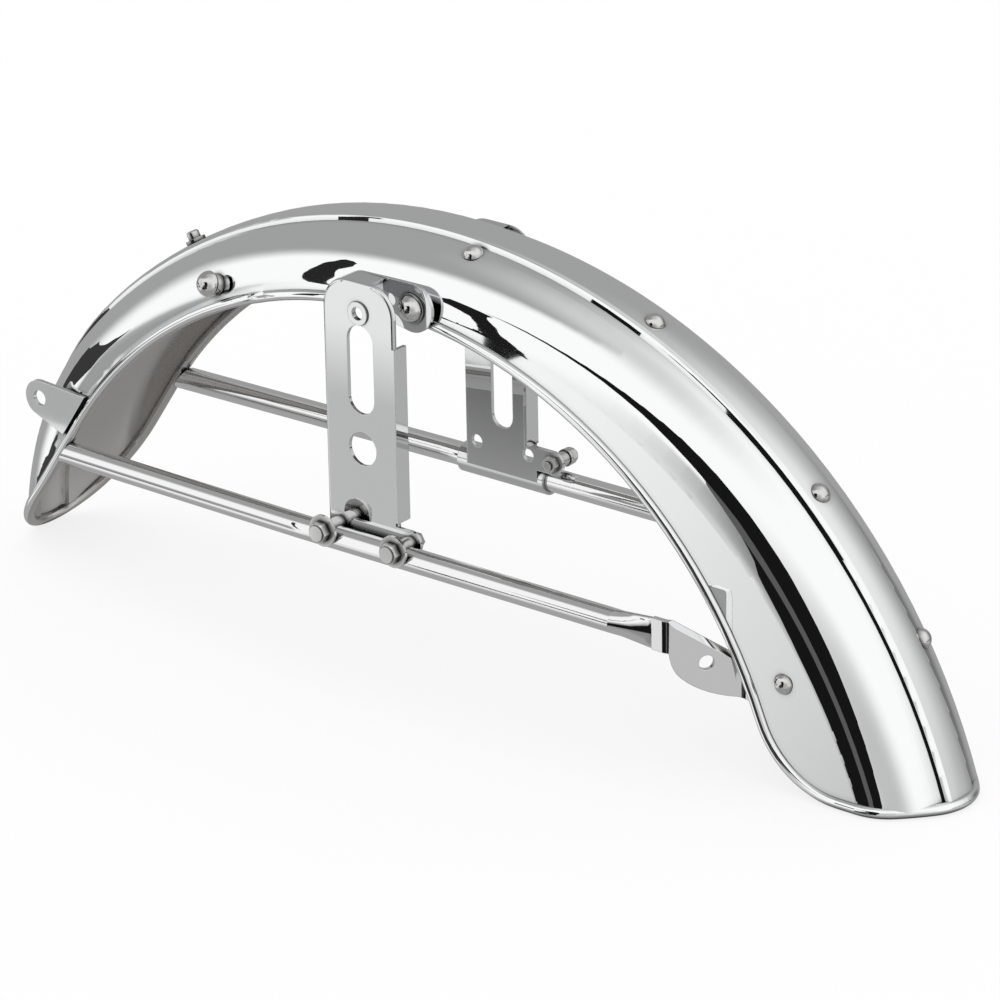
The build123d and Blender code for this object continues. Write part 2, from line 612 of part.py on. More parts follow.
def stay(hand):
    """One stay: bent tube, flattened front end and the strap that is riveted in the flank."""
    rear_z = STAY_Z - RIGHT_STAY_DROP if hand == RIGHT else STAY_Z + LEFT_STAY_RISE
    edge, inward = rear_edge(rear_z)
    rear = side(edge, -MID)
    bend = (STAY_BEND_X, -STAY_Y, STAY_Z)
    path = FilletPolyline(rear, bend, (FLATTEN_X, -STAY_Y, STAY_Z), radius=STAY_BEND_R)
    start = Plane(rear, z_dir=path % 0)
    tube = sweep(start * Circle(TUBE_D / 2), path=path)
    tube -= sweep(start * Circle(TUBE_D / 2 - TUBE_WALL), path=path)
    front = Plane((FLATTEN_X, -STAY_Y, STAY_Z), x_dir=(0, 1, 0), z_dir=(1, 0, 0))
    pressed = front.offset(FLATTEN_LENGTH) * SlotOverall(STRAP_HEIGHT, STRAP_THICK, rotation=90)
    tube += loft([front * Circle(TUBE_D / 2), pressed])
    strap = extrude(Pos(0, 0, STAY_Z - CREST_R) * strap_plan(), 2 * CREST_R)
    strap = strap & extrude(Plane.XZ * strap_outline(), 2 * STAY_Y)
    turn = Vector(STRAP_INSET_X - STRAP_TURN_X, STAY_Y - STRAP_Y)
    across = Vector(turn.Y, -turn.X, 0).normalized()
    mid_x = (STRAP_TURN_X + STRAP_INSET_X) / 2
    hole_z = (STAY_Z + edge_height(STRAP_INSET_X) - STRAP_DEPTH) / 2
    middle = Plane((mid_x, -(STAY_Y + STRAP_Y) / 2, hole_z), z_dir=across)
    strap -= middle * rod(STRAP_HOLE_D, -2 * STRAP_THICK, 2 * STRAP_THICK)
    strap -= flank_seat(STRAP_RIVET_X, STRAP_Y, STRAP_RIVET_Z, RIGHT) * hole(RIVET_D, 2 * STRAP_THICK)
    body = tube + strap

    # Notches across the top of the right tube for the collars of the clamp bolts
    if hand == RIGHT:
        for x in RIGHT_CLAMPS_X:
            notch = rod(CLAMP_COLLAR_D + 2 * SEAT_GAP, -TUBE_D, TUBE_D)
            body -= flank_seat(x, STAY_Y, RIGHT_CLAMP_Z, RIGHT) * notch

    # Rear end cut square to the side view so that it butts against the bead
    square = side(inward, 0)
    face = rear + square * (BEAD_D / 2 + SEAT_GAP)
    cut = Plane(face, x_dir=(0, 1, 0), z_dir=-square)
    body -= cut * (Pos(0, 0, TUBE_D) * Box(4 * TUBE_D, 4 * TUBE_D, 2 * TUBE_D))
    return body if hand == RIGHT else mirror(body, about=Plane.XZ)


def tail_tab():
    """Flat tab on the right flank of the tail, above the bead."""
    bead_side = Vector(TAIL_RUN.Y, -TAIL_RUN.X) * (BEAD_D / 2 + SEAT_GAP)

    def on_edge(z):
        return TAIL_EDGE_END + TAIL_RUN * ((z - TAIL_EDGE_END.Y) / TAIL_RUN.Y) + bead_side

    high = on_edge(TAIL_EDGE_END.Y + TAB_ROOT_RISE)
    low = on_edge(TAIL_EDGE_END.Y - TAB_ROOT_FALL)
    centre = Pos(TAB_HOLE_X, TAB_HOLE_Z)
    outline = make_hull([Line(high, low)] + (centre * Circle(TAB_END_R)).edges())
    return side_slab(outline - centre * Circle(TAB_HOLE_D / 2), HALF, HALF + TAB)


def clamp_set(collar, washer_d, head_af):
    """Bolt, washer, collar and nut along local Z, from the outer face of the plate."""
    inside = -PLATE
    head = collar + CLAMP_WASHER
    top = head + CLAMP_HEAD
    bore = CLAMP_BOLT_D + 2 * HOLE_CLEARANCE
    bolt = hexagon(head_af, head, top) + rod(head_af * CLAMP_CAP_SHARE, top, top + CLAMP_CAP)
    bolt += rod(CLAMP_BOLT_D, inside - CLAMP_NUT - BOLT_END, head)
    return {
        "clamp_bolt": bolt,
        "clamp_washer": ring(washer_d, bore, collar, head),
        "clamp_collar": ring(CLAMP_COLLAR_D, bore, 0, collar),
        "clamp_nut": hex_nut(LEFT_HEAD_AF, CLAMP_BOLT_D, inside - CLAMP_NUT, inside),
    }


def clamp_parts():
    """Bolts, washers, collars and nuts of the clamps, right side first."""
    right = clamp_set(RIGHT_COLLAR, RIGHT_WASHER_D, RIGHT_HEAD_AF)
    left = clamp_set(LEFT_COLLAR, LEFT_WASHER_D, LEFT_HEAD_AF)
    places = (
        ("right_rear", right, flank_seat(RIGHT_CLAMPS_X[0], PLATE_Y, RIGHT_CLAMP_Z, RIGHT)),
        ("right_front", right, flank_seat(RIGHT_CLAMPS_X[1], PLATE_Y, RIGHT_CLAMP_Z, RIGHT)),
        ("left_front", left, flank_seat(LEFT_CLAMP_X, PLATE_Y, LEFT_CLAMP_Z, LEFT)),
    )
    return {
        f"{name}_{kind}": seat * solid
        for name, solids, seat in places
        for kind, solid in solids.items()
    }


def lug_parts():
    """Domed bolt, washer and nut of each lug."""
    face = LUG_Y + PLATE - HALF
    above = max(LUG_Z + LUG_NUT_AF / 2 - SHOULDER_CENTRE, 0)
    seat = -SHEET - hollow(2 * above, SHOULDER_R - SHEET)
    bolt = dome(LUG_DOME_D, LUG_DOME_HEIGHT, face + LUG_WASHER)
    bolt += rod(LUG_BOLT_D, seat - LUG_NUT - BOLT_END, face + LUG_WASHER)
    kinds = {
        "lug_bolt": bolt,
        "lug_washer": ring(LUG_WASHER_D, LUG_BOLT_D + 2 * HOLE_CLEARANCE, face, face + LUG_WASHER),
        "lug_nut": hex_nut(LUG_NUT_AF, LUG_BOLT_D, seat - LUG_NUT, seat),
    }
    return {
        f"{name}_{kind}": flank_seat(LUG_X, HALF, LUG_Z, hand) * solid
        for name, hand in (("right", RIGHT), ("left", LEFT))
        for kind, solid in kinds.items()
    }


def strap_rivet_parts():
    """Rivet and spacer that hold each strap inside its flank."""
    gap = HALF - SHEET - STRAP_Y - STRAP_THICK / 2
    grip = SHEET + gap + STRAP_THICK
    spacer = ring(STRAP_SPACER_D, RIVET_D + 2 * HOLE_CLEARANCE, -SHEET - gap, -SHEET)
    parts = {}
    for name, hand in (("right", RIGHT), ("left", LEFT)):
        seat = flank_seat(STRAP_RIVET_X, HALF, STRAP_RIVET_Z, hand)
        parts[f"{name}_strap_rivet"] = seat * rivet(grip)
        parts[f"{name}_strap_spacer"] = seat * spacer
    return parts


def crown_parts():
    """Crown rivets with their burrs, the stepped screw and the domed flank bolt."""
    rib_skin = CROWN_R + RIB_HEIGHT - SHEET
    shoulder_skin = SHOULDER_R - SHEET
    rivets = []
    burrs = []
    for seat, (angle, hand) in zip(CROWN_SEATS, CROWN_RIVETS):
        inside = -SHEET - hollow(BURR_D, shoulder_skin if hand else rib_skin)
        rivets.append(seat * rivet(BURR - inside))
        burrs.append(seat * ring(BURR_D, RIVET_D + 2 * HOLE_CLEARANCE, inside - BURR, inside))

    shank = LUG_BOLT_D
    bore = shank + 2 * HOLE_CLEARANCE
    head_top = BUTTON_FLANGE + BUTTON_HEIGHT
    stepped = rod(BUTTON_D, 0, head_top)
    stepped = chamfer(stepped.edges().group_by(Axis.Z)[-1], BUTTON_CHAMFER)
    stepped += rod(BUTTON_FLANGE_D, 0, BUTTON_FLANGE)
    dome_seat = FLANK_COLLAR + FLANK_NECK
    domed = dome(FLANK_DOME_D, FLANK_DOME_HEIGHT, dome_seat) + rod(FLANK_NECK_D, FLANK_COLLAR, dome_seat)
    parts = {
        "crown_rivets": Compound(children=rivets),
        "crown_rivet_burrs": Compound(children=burrs),
        "flank_bolt_collar": FLANK_SEAT * ring(FLANK_COLLAR_D, bore, 0, FLANK_COLLAR),
    }
    screws = (
        ("crown_screw", BUTTON_SEAT, stepped, 0, rib_skin),
        ("flank_bolt", FLANK_SEAT, domed, FLANK_COLLAR, shoulder_skin),
    )
    for name, seat, head, top, skin in screws:
        inside = -SHEET - hollow(SCREW_WASHER_D, skin)
        nut_seat = inside - BURR
        parts[name] = seat * (head + rod(shank, nut_seat - BUTTON_NUT - BOLT_END, top))
        parts[f"{name}_washer"] = seat * ring(SCREW_WASHER_D, bore, nut_seat, inside)
        parts[f"{name}_nut"] = seat * hex_nut(BUTTON_NUT_AF, shank, nut_seat - BUTTON_NUT, nut_seat)
    return parts


def mudguard():
    """Every piece by its node name, drawn about the wheel axle."""
    return {
        "mudguard_blade": mudguard_blade(),
        "right_fork_bracket": right_fork_bracket(),
        "left_fork_bracket": left_fork_bracket(),
        "right_stay": stay(RIGHT),
        "left_stay": stay(LEFT),
        "tail_tab": tail_tab(),
        **clamp_parts(),
        **lug_parts(),
        **strap_rivet_parts(),
        **crown_parts(),
    }


pieces = mudguard()
low_corner = [min(getattr(p.bounding_box().min, axis) for p in pieces.values()) for axis in "XYZ"]
high_corner = [max(getattr(p.bounding_box().max, axis) for p in pieces.values()) for axis in "XYZ"]
stand = Pos(-(low_corner[0] + high_corner[0]) / 2, -(low_corner[1] + high_corner[1]) / 2, -low_corner[2])
os.makedirs("parts", exist_ok=True)
for name, piece in pieces.items():
    export_step(stand * piece, f"parts/{name}.step")
print("moved by", stand.position)
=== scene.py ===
# %% [markdown]
# # A chromed front mudguard
# This lesson dresses a motorcycle mudguard that was drawn elsewhere as exact solids. The solids come in as a fixed
# frame in metres: +X points forward, +Y to the rider's left, +Z up, and the guard stands on its two lips at Z = 0.
# Nothing in the frame is moved here. The work is to give every piece its finish and to light it like a studio would.

# %% Open the frame
import json
import math

import bpy
from mathutils import Matrix, Vector


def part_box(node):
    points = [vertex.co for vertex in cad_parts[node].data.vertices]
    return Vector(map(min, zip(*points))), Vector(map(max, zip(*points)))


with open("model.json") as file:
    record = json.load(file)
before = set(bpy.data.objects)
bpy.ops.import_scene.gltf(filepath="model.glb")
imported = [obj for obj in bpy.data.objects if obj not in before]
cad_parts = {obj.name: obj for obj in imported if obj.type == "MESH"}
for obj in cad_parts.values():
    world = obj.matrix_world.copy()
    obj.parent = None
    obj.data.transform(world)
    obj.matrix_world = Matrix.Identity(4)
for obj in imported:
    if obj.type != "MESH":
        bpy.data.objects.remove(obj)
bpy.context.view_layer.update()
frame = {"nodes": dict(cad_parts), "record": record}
nodes = frame["nodes"]
MM = 0.001
blade_low, blade_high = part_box("mudguard_blade")
MIDDLE_Y = (blade_low.y + blade_high.y) / 2

# %% [markdown]
# ## The camera
# The guard is seen from its right, a little from ahead and from above, through a long lens, so its two sides look
# almost parallel. The camera could be placed by its own X, Y and Z. Here it is placed by the point it looks at, two
# angles, a distance and a small roll about its own axis, because each of these can be changed alone until the picture
# fits.

# %% Set the camera
LOOK_AT = Vector((0.01567, MIDDLE_Y, 0.09132))
CAMERA_PLACE = (-50.553, 22.268)
CAMERA_ROLL = math.radians(-1.061)
CAMERA_DISTANCE = 3.0
LENS_MM = 210.58
SENSOR_MM = 36


def direction(longitude, latitude):
    """Unit vector at two angles in degrees: round from +X towards +Y, and up from the floor."""
    round_z, up = math.radians(longitude), math.radians(latitude)
    return Vector((math.cos(round_z) * math.cos(up), math.sin(round_z) * math.cos(up), math.sin(up)))


towards_camera = direction(*CAMERA_PLACE)
camera_data = bpy.data.cameras.new("camera")
camera_data.lens = LENS_MM
camera_data.sensor_width = SENSOR_MM
camera = bpy.data.objects.new("camera", camera_data)
camera.location = LOOK_AT + towards_camera * CAMERA_DISTANCE
level = towards_camera.to_track_quat("Z", "Y").to_matrix()
camera.rotation_euler = (level @ Matrix.Rotation(CAMERA_ROLL, 3, "Z")).to_euler()
bpy.context.scene.collection.objects.link(camera)
bpy.context.scene.camera = camera
print("camera at", tuple(round(c, 3) for c in camera.location))

# %% [markdown]
# ## Chrome
# Chrome plate is a mirror with a faintly cool grey colour. It has almost no look of its own: what we see is the room.
# A polished blade is nearly perfect, a pressed plate is a little darker and softer, and plain zinc on the hidden nuts
# is duller still. Each could have a shader of its own. One metal shader with other numbers is easier to compare and
# change. A cloudy noise makes its blur wander a little, as buffing by hand does.

# %% Mix the metal finishes
CLOUD_DETAIL = 3


def plated(name, tint, roughness, ripple, ripple_scale):
    """Plated metal: a mirror whose blur wanders a little over the surface."""
    material = bpy.data.materials.new(name)
    material.use_nodes = True
    tree = material.node_tree
    shader = tree.nodes["Principled BSDF"]
    shader.inputs["Base Color"].default_value = (*tint, 1)
    shader.inputs["Metallic"].default_value = 1
    place = tree.nodes.new("ShaderNodeTexCoord")
    cloud = tree.nodes.new("ShaderNodeTexNoise")
    cloud.inputs["Scale"].default_value = ripple_scale
    cloud.inputs["Detail"].default_value = CLOUD_DETAIL
    spread = tree.nodes.new("ShaderNodeMapRange")
    spread.inputs["To Min"].default_value = roughness
    spread.inputs["To Max"].default_value = roughness + ripple
    tree.links.new(place.outputs["Object"], cloud.inputs["Vector"])
    tree.links.new(cloud.outputs["Fac"], spread.inputs["Value"])
    tree.links.new(spread.outputs["Result"], shader.inputs["Roughness"])
    return material


FINISHES = {
    # slot: tint, least roughness, how much rougher the clouds make it, how many clouds to a metre
    "blade_chrome": ((0.95, 0.955, 0.96), 0.005, 0.015, 14),
    "stay_chrome": ((0.90, 0.90, 0.905), 0.02, 0.02, 40),
    "bracket_chrome": ((0.78, 0.785, 0.79), 0.01, 0.02, 60),
    "fastener_chrome": ((0.72, 0.715, 0.705), 0.02, 0.02, 90),
    "plated_steel": ((0.50, 0.50, 0.49), 0.30, 0.10, 120),
}
finishes = {slot: plated(slot, *numbers) for slot, numbers in FINISHES.items()}
for part in frame["record"]["subparts"]:
    node = nodes[part["node"]]
    node.data.materials.clear()
    node.data.materials.append(finishes[part["material_slot"]])
print("finished", len(nodes), "nodes in", len(finishes), "finishes")

# %% [markdown]
# Plating is laid on bent, punched and turned steel, whose edges are never quite sharp, so each edge catches a thin
# line of light. The meshes could be bevelled, but the solids stay as they were drawn. The shader's Bevel node rounds
# the edges in the shading alone. The blade needs none, because a bead is rolled round its whole edge.

# %% Round the edges of the pressings and fasteners
EDGE_ROUNDING = 0.5 * MM
EDGE_SAMPLES = 4

for slot in ("stay_chrome", "bracket_chrome", "fastener_chrome"):
    tree = finishes[slot].node_tree
    rounding = tree.nodes.new("ShaderNodeBevel")
    rounding.samples = EDGE_SAMPLES
    rounding.inputs["Radius"].default_value = EDGE_ROUNDING
    tree.links.new(rounding.outputs["Normal"], tree.nodes["Principled BSDF"].inputs["Normal"])
print("rounded edges by", EDGE_ROUNDING / MM, "mm")

# %% [markdown]
# ## The two sides of the blade
# Only the outside of the blade is polished. Its hollow side faces the tyre, so it is plated thinly over unpolished
# steel and is rougher. Its darker, warm grey colour is partly that dull plate and partly painted shade of the hollow.
# The faces could be picked one by one, but the mesh is not touched here, so the shader tells the two sides apart by
# one test. On the outside the surface faces away from the wheel's axle, and on the inside towards it. Widths count
# several times over in that test, so that it also works on the flanks.

# %% Find the hollow side of the blade
AXLE = Vector((-13.0 * MM, MIDDLE_Y, -97.0 * MM))
WIDTH_WEIGHT = 6

blade_tree = finishes["blade_chrome"].node_tree
surface = blade_tree.nodes.new("ShaderNodeNewGeometry")
from_axle = blade_tree.nodes.new("ShaderNodeVectorMath")
from_axle.operation = "SUBTRACT"
from_axle.inputs[1].default_value = AXLE
weighed = blade_tree.nodes.new("ShaderNodeVectorMath")
weighed.operation = "MULTIPLY"
weighed.inputs[1].default_value = (1, WIDTH_WEIGHT, 1)
outward = blade_tree.nodes.new("ShaderNodeVectorMath")
outward.operation = "DOT_PRODUCT"
inside = blade_tree.nodes.new("ShaderNodeMath")
inside.operation = "LESS_THAN"
inside.inputs[1].default_value = 0
blade_tree.links.new(surface.outputs["Position"], from_axle.inputs[0])
blade_tree.links.new(from_axle.outputs["Vector"], weighed.inputs[0])
blade_tree.links.new(weighed.outputs["Vector"], outward.inputs[0])
blade_tree.links.new(surface.outputs["Normal"], outward.inputs[1])
blade_tree.links.new(outward.outputs["Value"], inside.inputs[0])
print("axle", round((blade_high.z - AXLE.z) / MM), "mm below the crest")

# %% [markdown]
# The test gives 1 inside and 0 outside. Two finishes could be mixed by it, but one metal with two colours and two
# blurs is enough. A Mix node picks the colour and another picks the roughness, where the polished side keeps its
# clouds.

# %% Dull the hollow side and paint its shade
# Partly painted shade: the hollow side's colour is darkened for its dull plate and for the shade in the hollow
INSIDE_TINT_AND_SHADE = (0.61, 0.595, 0.57)
INSIDE_ROUGHNESS = 0.24

blade_shader = blade_tree.nodes["Principled BSDF"]
# Painted shade, in part: this mix gives the hollow side its darker colour
side_tint_and_shade = blade_tree.nodes.new("ShaderNodeMix")
side_tint_and_shade.data_type = "RGBA"
side_tint_and_shade.inputs["A"].default_value = blade_shader.inputs["Base Color"].default_value
side_tint_and_shade.inputs["B"].default_value = (*INSIDE_TINT_AND_SHADE, 1)
side_blur = blade_tree.nodes.new("ShaderNodeMix")
side_blur.inputs["B"].default_value = INSIDE_ROUGHNESS
polish = blade_shader.inputs["Roughness"].links[0].from_socket
blade_tree.links.new(inside.outputs["Value"], side_tint_and_shade.inputs["Factor"])
blade_tree.links.new(inside.outputs["Value"], side_blur.inputs["Factor"])
blade_tree.links.new(polish, side_blur.inputs["A"])
blade_tree.links.new(side_tint_and_shade.outputs["Result"], blade_shader.inputs["Base Color"])
blade_tree.links.new(side_blur.outputs["Result"], blade_shader.inputs["Roughness"])
print("inside roughness", INSIDE_ROUGHNESS)

# %% [markdown]
# ## Painted shade in the corners
# On a real guard, narrow corners such as the foot of the rib or the ring round a bolt's head draw fine dark lines of
# shade. Here that shade is painted into the metal's colour. Lines could be painted where they belong, but the
# shader's
# Ambient Occlusion node finds every narrow corner by itself: it tells how open the space is round each point.

# %% Paint shade into the narrow corners
CREVICE_REACH = 4 * MM
CREVICE_SAMPLES = 8
# Painted shade: the near-black colour that narrow corners are darkened towards
CREVICE_SHADE_TINT = (0.06, 0.06, 0.06, 1)
CREVICE_FADE = 0.47
CLEAR_SHARES = {"blade_chrome": 0.92, "bracket_chrome": 0.92, "fastener_chrome": 0.98}


def paint_crevice_shade(material, clear):
    """Paint shade into a finish wherever less than the clear share of the space round it is open."""
    tree = material.node_tree
    colour = tree.nodes["Principled BSDF"].inputs["Base Color"]
    shelter = tree.nodes.new("ShaderNodeAmbientOcclusion")
    shelter.samples = CREVICE_SAMPLES
    shelter.inputs["Distance"].default_value = CREVICE_REACH
    open_share = tree.nodes.new("ShaderNodeMapRange")
    open_share.inputs["From Min"].default_value = clear - CREVICE_FADE
    open_share.inputs["From Max"].default_value = clear
    # Painted shade: the finish's colour is mixed towards near-black where the corner is narrow
    shaded_colour = tree.nodes.new("ShaderNodeMix")
    shaded_colour.data_type = "RGBA"
    shaded_colour.inputs["A"].default_value = CREVICE_SHADE_TINT
    shaded_colour.inputs["B"].default_value = colour.default_value
    if colour.is_linked:
        tree.links.new(colour.links[0].from_socket, shaded_colour.inputs["B"])
    tree.links.new(shelter.outputs["AO"], open_share.inputs["Value"])
    tree.links.new(open_share.outputs["Result"], shaded_colour.inputs["Factor"])
    tree.links.new(shaded_colour.outputs["Result"], colour)


for slot, clear in CLEAR_SHARES.items():
    paint_crevice_shade(finishes[slot], clear)
print("darkened the corners of", len(CLEAR_SHARES), "finishes")

# %% [markdown]
# ## The studio
# The guard stands on white paper, in white light from all round it. Stronger lamps could make the paper pure white,
# but they would also wash out the guard. Instead, the paper that the camera sees gives off part of its own
# brightness. The rest comes from the room, so the guard keeps its soft shadow.

# %% Lay the paper floor
FLOOR_SIZE = 8.0
FLOOR_GLOW = 0.8
PAPER_WHITE = (0.99, 0.99, 0.99, 1)
PAPER_ROUGHNESS = 0.9

bpy.ops.mesh.primitive_plane_add(size=FLOOR_SIZE)
floor = bpy.context.object
floor.name = "floor"
floor.visible_glossy = False
paper = bpy.data.materials.new("paper")
paper.use_nodes = True
paper_tree = paper.node_tree
paper_shader = paper_tree.nodes["Principled BSDF"]
paper_shader.inputs["Base Color"].default_value = PAPER_WHITE
paper_shader.inputs["Roughness"].default_value = PAPER_ROUGHNESS
paper_shader.inputs["Specular IOR Level"].default_value = 0
ray = paper_tree.nodes.new("ShaderNodeLightPath")
glow_share = paper_tree.nodes.new("ShaderNodeMath")
glow_share.operation = "MULTIPLY"
glow_share.inputs[1].default_value = FLOOR_GLOW
paper_glow = paper_tree.nodes.new("ShaderNodeEmission")
lit_paper = paper_tree.nodes.new("ShaderNodeMixShader")
paper_tree.links.new(ray.outputs["Is Camera Ray"], glow_share.inputs[0])
paper_tree.links.new(glow_share.outputs["Value"], lit_paper.inputs["Fac"])
paper_tree.links.new(paper_shader.outputs["BSDF"], lit_paper.inputs[1])
paper_tree.links.new(paper_glow.outputs["Emission"], lit_paper.inputs[2])
paper_tree.links.new(lit_paper.outputs["Shader"], paper_tree.nodes["Material Output"].inputs["Surface"])
floor.data.materials.append(paper)
print("floor of", FLOOR_SIZE, "m")

# %% [markdown]
# The room's light is one even white from every side, like a light tent's. Lamps could give it too, with many soft
# shadows to balance. The world's background needs one number, and at a strength of 1 a colour looks about as it is
# written.

# %% Light the room
ROOM_WHITE = (1, 1, 1, 1)
ROOM_STRENGTH = 1.0

world = bpy.data.worlds.new("studio")
world.use_nodes = True
room = world.node_tree.nodes["Background"]
room.inputs["Color"].default_value = ROOM_WHITE
room.inputs["Strength"].default_value = ROOM_STRENGTH
bpy.context.scene.world = world
bpy.context.scene.view_settings.view_transform = "Standard"
print("room light of strength", ROOM_STRENGTH)

# %% [markdown]
# ## The room in the mirror
# White light alone leaves chrome blank, since a mirror needs something to show. In a studio, large white and grey
# sheets stand round polished metal, and a dome plays their part here. It is white on the camera's side, grey behind
# the guard and below it, and pale overhead. A picture wrapped round the room would do too. Soft patches worked out by
# angle need no picture, and each is changed by a number. A direction is two angles in degrees: round from +X, and up
# from the floor.

# %% Make soft fades
def ease(value, start, end):
    """0 before start, 1 after end, smooth between them."""
    share = min(max((value - start) / (end - start), 0), 1)
    return share * share * (3 - 2 * share)


def around(value, middle, full, faded):
    """1 up to the full distance from the middle, 0 past the faded one, smooth between them."""
    return 1 - ease(abs(value - middle), full, faded)


def blend(low, high, share):
    """Tone between two others."""
    return low + (high - low) * share


print("a quarter of the way through a fade its share is", round(ease(0.25, 0, 1), 3))

# %% [markdown]
# The backdrop is the grey that the far side of the crown shows. It starts ahead of the guard and ends behind its
# tail, and its ends lean, as a hung sheet's do. A flag is a small dark screen that keeps light off one place. This
# one stands beside the tall dark card made below, and softens that card's edge on the flank.

# %% Hang the backdrop and the flag
BACKDROP_START = -10
BACKDROP_START_LEAN = 0.9
BACKDROP_FADE_IN = 85
BACKDROP_END = 176
BACKDROP_END_LEAN = 1.4
BACKDROP_LEANS_ABOVE = 18
BACKDROP_FADE_OUT = 24
FLAG_ROUND = -97
FLAG_LEAN = 0.7
FLAG_EDGE = (-15, 4)
FLAG_STOP = (84, 92)
FLAG_TOP = (8, 14)


def backdrop(round_z, up):
    """Share of the grey backdrop in one direction."""
    start = BACKDROP_START + BACKDROP_START_LEAN * max(up, 0)
    end = BACKDROP_END + BACKDROP_END_LEAN * max(up - BACKDROP_LEANS_ABOVE, 0)
    return ease(round_z, start, start + BACKDROP_FADE_IN) - ease(round_z, end, end + BACKDROP_FADE_OUT)


def flag(near, up):
    """Share of the flag in one direction: one edge leans, one stops at the card, and it has a soft top."""
    beside = near - FLAG_ROUND - FLAG_LEAN * (up - FLAG_TOP[0])
    return ease(beside, *FLAG_EDGE) * ease(-near, *FLAG_STOP) * (1 - ease(up, *FLAG_TOP))


print("to the left the backdrop's share is", round(backdrop(90, 0), 2))

# %% [markdown]
# The dome's tone in a direction is found by laying one soft patch over another, as a painter does: the backdrop
# first, a darker part in its middle, the dimmer corner where the camera stands, the flag, a grey corner behind the
# tail, the pale ceiling, and last the floor, whose grey starts higher in front of the guard.

# %% Shade the dome
WHITE = 1.0
BACK_GREY = 0.36
BACK_DARK = 0.17
FRONT_GREY = 0.54
FLAG_GREY = 0.24
TAIL_GREY = 0.34
OVERHEAD = 0.66
UNDER_GREY = 0.38

# Where a fade starts and where it ends
CAMERA_CORNER_REACH = (8, 46)
CEILING_UP = (52, 88)
FRONT_FLOOR_DOWN = (8, 20)
UNDER_DOWN = (24, 42)

# The middle of a patch, how far it is full, and how far it fades
BACK_DARK_ROUND = (74, 0, 22)
BACK_DARK_UP = (2, 5, 34)
TAIL_CORNER_ROUND = (-144, 6, 10)
TAIL_CORNER_UP = (-13, 6, 11)
FRONT_FLOOR_ROUND = (-20, 50, 70)

CAMERA_CORNER = direction(-57, -4)


def dome_shade(round_z, up):
    """Brightness of the studio in one direction, with round_z from -90 to 270 degrees."""
    near = round_z - 360 if round_z > 180 else round_z
    off_camera = math.degrees(direction(round_z, up).angle(CAMERA_CORNER))
    shade = blend(WHITE, BACK_GREY, backdrop(round_z, up))
    shade = blend(shade, BACK_DARK, around(round_z, *BACK_DARK_ROUND) * around(up, *BACK_DARK_UP))
    shade = blend(shade, FRONT_GREY, 1 - ease(off_camera, *CAMERA_CORNER_REACH))
    shade = blend(shade, FLAG_GREY, flag(near, up))
    shade = blend(shade, TAIL_GREY, around(near, *TAIL_CORNER_ROUND) * around(up, *TAIL_CORNER_UP))
    shade = blend(shade, OVERHEAD, ease(up, *CEILING_UP))
    shade = blend(shade, FRONT_GREY, ease(-up, *FRONT_FLOOR_DOWN) * around(near, *FRONT_FLOOR_ROUND))
    return blend(shade, UNDER_GREY, ease(-up, *UNDER_DOWN))


print("straight up the dome is", round(dome_shade(0, 90), 2), "and straight down", round(dome_shade(0, -90), 2))

# %% [markdown]
# Sheets of the studio are thin meshes that glow with the brightness stored at their corners. Lamps could light them,
# but then they would also light the paper. So only mirror rays meet them: they cast no shadow and show in no view.

# %% Make sheets that only mirrors show
PAINT_LAYER = "shade"

studio_paint = bpy.data.materials.new("studio_paint")
studio_paint.use_nodes = True
paint_tree = studio_paint.node_tree
stored_shade = paint_tree.nodes.new("ShaderNodeAttribute")
stored_shade.attribute_name = PAINT_LAYER
paint_glow = paint_tree.nodes.new("ShaderNodeEmission")
paint_tree.links.new(stored_shade.outputs["Fac"], paint_glow.inputs["Strength"])
paint_tree.links.new(paint_glow.outputs["Emission"], paint_tree.nodes["Material Output"].inputs["Surface"])


def studio_sheet(name, corners, faces, shades):
    """Sheet of the studio with a brightness at each corner, out of sight for all but mirror rays."""
    mesh = bpy.data.meshes.new(name)
    mesh.from_pydata(corners, [], faces)
    mesh.attributes.new(PAINT_LAYER, "FLOAT", "POINT").data.foreach_set("value", shades)
    mesh.materials.append(studio_paint)
    piece = bpy.data.objects.new(name, mesh)
    bpy.context.scene.collection.objects.link(piece)
    piece.visible_camera = False
    piece.visible_diffuse = False
    piece.visible_transmission = False
    piece.visible_volume_scatter = False
    piece.visible_shadow = False


def far_off(places, radius):
    """Points at one distance from the guard, each in a direction of (round, up)."""
    return [LOOK_AT + direction(*place) * radius for place in places]


print("mixed", studio_paint.name)

# %% [markdown]
# The dome is a globe of small faces with one tone at each corner. It stands very far off, so every point of the guard
# sees it in the same direction, and a tone's two angles alone decide where it shows in the chrome.

# %% Raise the dome
DOME_RADIUS = 60.0
DOME_STEP = 3

rounds = range(-90, 271, DOME_STEP)
ups = range(-90, 91, DOME_STEP)
dome_places = [(round_z, up) for up in ups for round_z in rounds]
row = len(rounds)
first_corners = [j * row + i for j in range(len(ups) - 1) for i in range(row - 1)]
dome_faces = [(corner, corner + 1, corner + 1 + row, corner + row) for corner in first_corners]
dome_shades = [dome_shade(*place) for place in dome_places]
studio_sheet("dome", far_off(dome_places, DOME_RADIUS), dome_faces, dome_shades)
print("dome of", len(dome_faces), "faces")

# %% [markdown]
# ## The dark cards
# In a studio, dark cards also stand just out of the picture. Their mirror images draw the long black bands that tell
# the eye "polished metal". Bands could be painted on the blade, but they would stick to it, where real ones glide as
# we walk round it. Each card is an outline of directions, so moving a point moves the edge of a band.

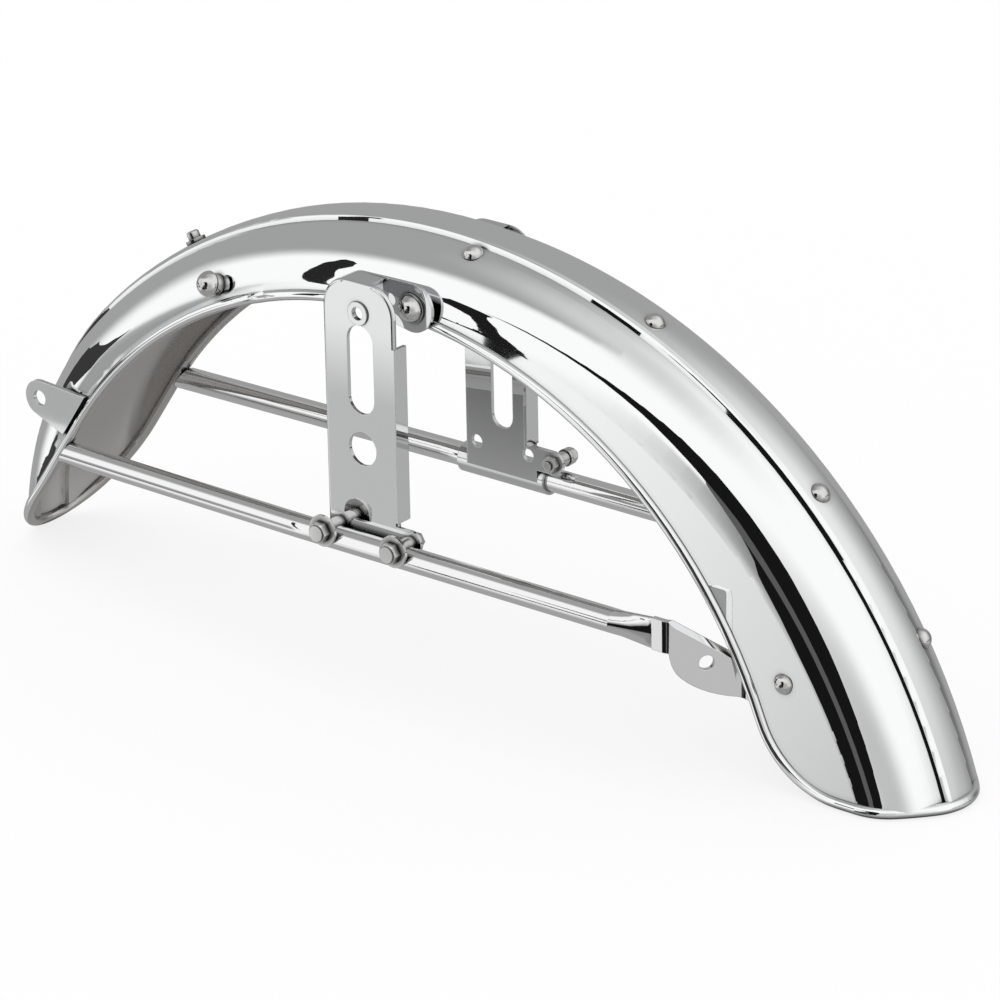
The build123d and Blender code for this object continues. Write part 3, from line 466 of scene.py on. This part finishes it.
# %% Stand the dark cards
CARD_RADIUS = 50.0
CARDS = {
    # name: brightness, outline
    "tall_card": (0.008, (
        (-89, -27), (-77, -27), (-75, -11), (-72, -3), (-69.5, 10), (-70, 22), (-74, 29), (-80, 33), (-88, 33.5),
        (-95, 30.5), (-102, 26.5), (-110, 22.5), (-117, 18.5), (-121, 14.5), (-115, 17.7), (-107, 20.5), (-101, 20),
        (-95.5, 15.5), (-91, 12),
    )),
    "gap_card": (0.10, ((-91, 13), (-95, 16), (-100, 1), (-98.5, -8), (-96, -27), (-89, -27))),
    "low_card": (0.008, ((-100, 1), (-104, -5), (-112, -13.5), (-120, -21), (-120, -27), (-96, -27), (-98.5, -8))),
    "thin_strip": (0.012, (
        (-125.8, 5), (-125.6, 8), (-124, 13), (-120, 13), (-120.8, 9), (-121.3, 5), (-121.7, 0), (-122.3, -3),
        (-123, -6), (-123.7, -9), (-124.7, -12), (-125.6, -15), (-127, -18), (-128.3, -20.5), (-129.6, -20.9),
        (-129.1, -18.5), (-127.2, -16), (-126.4, -13.5), (-125.5, -10.5), (-124.6, -7.5), (-123.9, -4.5), (-123.3, 0),
        (-124.2, 3),
    )),
    "rear_strip": (0.02, (
        (-145, 28), (-140, 25.5), (-136, 13), (-133, 4), (-132, -3), (-131, -9), (-133.3, -3), (-135.6, 3.5),
        (-138, 10), (-140.5, 16), (-143.2, 22),
    )),
    "rear_card": (0.04, ((-181, -0.5), (-172, 1), (-160, -1.5), (-151, -3), (-152, -8), (-165, -9), (-181, -7))),
    "left_card": (0.02, ((8, -5), (56, -5.5), (60, -9), (66, -10.5), (30, -10.5), (8, -9.5))),
    "tail_card": (0.05, (
        (-180, -20), (-176, -17), (-160, -16), (-146, -16.5), (-146, -19), (-165, -20.5), (-178, -22),
    )),
}
for name, (shade, outline) in CARDS.items():
    studio_sheet(name, far_off(outline, CARD_RADIUS), [range(len(outline))], [shade] * len(outline))
print("stood", len(CARDS), "dark cards")

# %% [markdown]
# ## Cards for the flat faces
# A flat face mirrors one small patch of the room, so it takes one plain tone. On the real guard the fork plates fade
# from one tone to another. A fade in the metal's colour would look painted on, so a card with a tone at each end is
# held up instead, where the sight line goes on to from the face. Its two ends are drawn on the face by X and Z in
# millimetres.

# %% Hold up two-tone cards for the flat faces
FADE_CARDS = {
    # name: face's Y, first end as two (X, Z) corners, its tone, second end, its tone
    "near_plate_low": (-57, ((-62, 66), (14, 66)), 0.6, ((-62, 155), (14, 155)), 0.6),
    "near_plate_high": (-57, ((-62, 155), (14, 155)), 0.6, ((-62, 195), (14, 195)), 1.0),
    "far_plate_card": (55, ((-64, 68), (12, 68)), 0.35, ((-64, 135), (12, 135)), 0.15),
    "tab_card": (-40.5, ((-284, 82), (-226, 82)), 0.5, ((-284, 112), (-226, 112)), 0.5),
}
CARD_FACE = (0, 1, 3, 2)


def seen_from(x, y, z):
    """Where the sight line to a point on a face square to Y ends after the face has mirrored it."""
    point = Vector((x * MM, MIDDLE_Y + y * MM, z * MM))
    sight = point - camera.location
    return point + Vector((sight.x, -sight.y, sight.z)).normalized() * CARD_RADIUS


for name, (face_y, first, first_tone, second, second_tone) in FADE_CARDS.items():
    corners = [seen_from(x, face_y, z) for x, z in first + second]
    studio_sheet(name, corners, [CARD_FACE], [first_tone] * 2 + [second_tone] * 2)
print("held up", len(FADE_CARDS), "two-tone cards")
